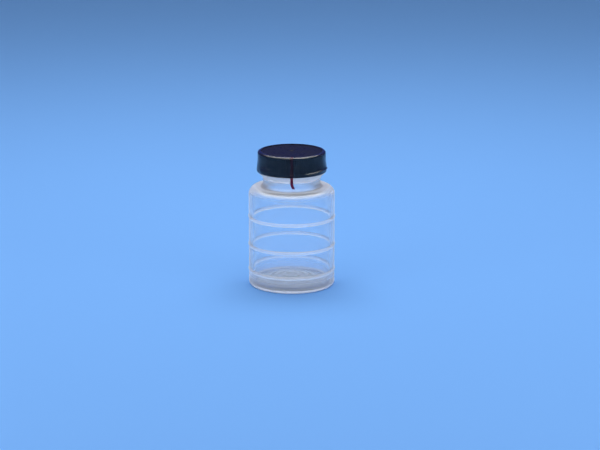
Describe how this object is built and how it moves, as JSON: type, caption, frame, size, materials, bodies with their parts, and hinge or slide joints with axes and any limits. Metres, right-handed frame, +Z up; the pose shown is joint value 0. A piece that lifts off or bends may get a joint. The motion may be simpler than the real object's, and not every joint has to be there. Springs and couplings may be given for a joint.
{
  "type": "sample vial",
  "caption": "Small wide-mouth hazy-clear plastic sample vial with raised body rings, a low black ribbed screw cap, and a clear shrink band opened by a red tear strip.",
  "frame": {"origin": "centre of the standing ring, on the table", "axes": "+Z up along the bottle's axis; the tear strip faces -Y"},
  "size_m": [0.0456, 0.0456, 0.0715],
  "materials": {
    "bottle_plastic": "hazy clear moulded polypropylene",
    "cap_plastic": "satin black moulded",
    "liner_foam": "closed-cell foam",
    "band_film": "glossy shrunk film",
    "strip_tape": "glossy tape"
  },
  "bodies": {
    "bottle": {"bottle": "bottle_plastic"},
    "liner": {"cap_liner": "liner_foam"},
    "cap": {"screw_cap": "cap_plastic", "shrink_band": "band_film"},
    "strip": {"tear_strip": "strip_tape"}
  },
  "joints": [
    {"name": "cap_rise", "type": "slide", "parent": "bottle", "child": "liner", "axis": [0, 0, 1], "range_m": [0, 0.01376]},
    {"name": "cap_turn", "type": "hinge", "parent": "liner", "child": "cap", "pos_m": [0, 0, 0.0699], "axis": [0, 0, 1], "range_deg": [0, 1170]},
    {"name": "strip_peel", "type": "hinge", "parent": "cap", "child": "strip", "pos_m": [0, -0.016, 0.0715], "axis": [-1, 0, 0], "range_deg": [0, 120]}
  ],
  "couplings": [
    {"joint": "cap_turn", "follows": "cap_rise", "rad_per_m": 1484.2}
  ]
}
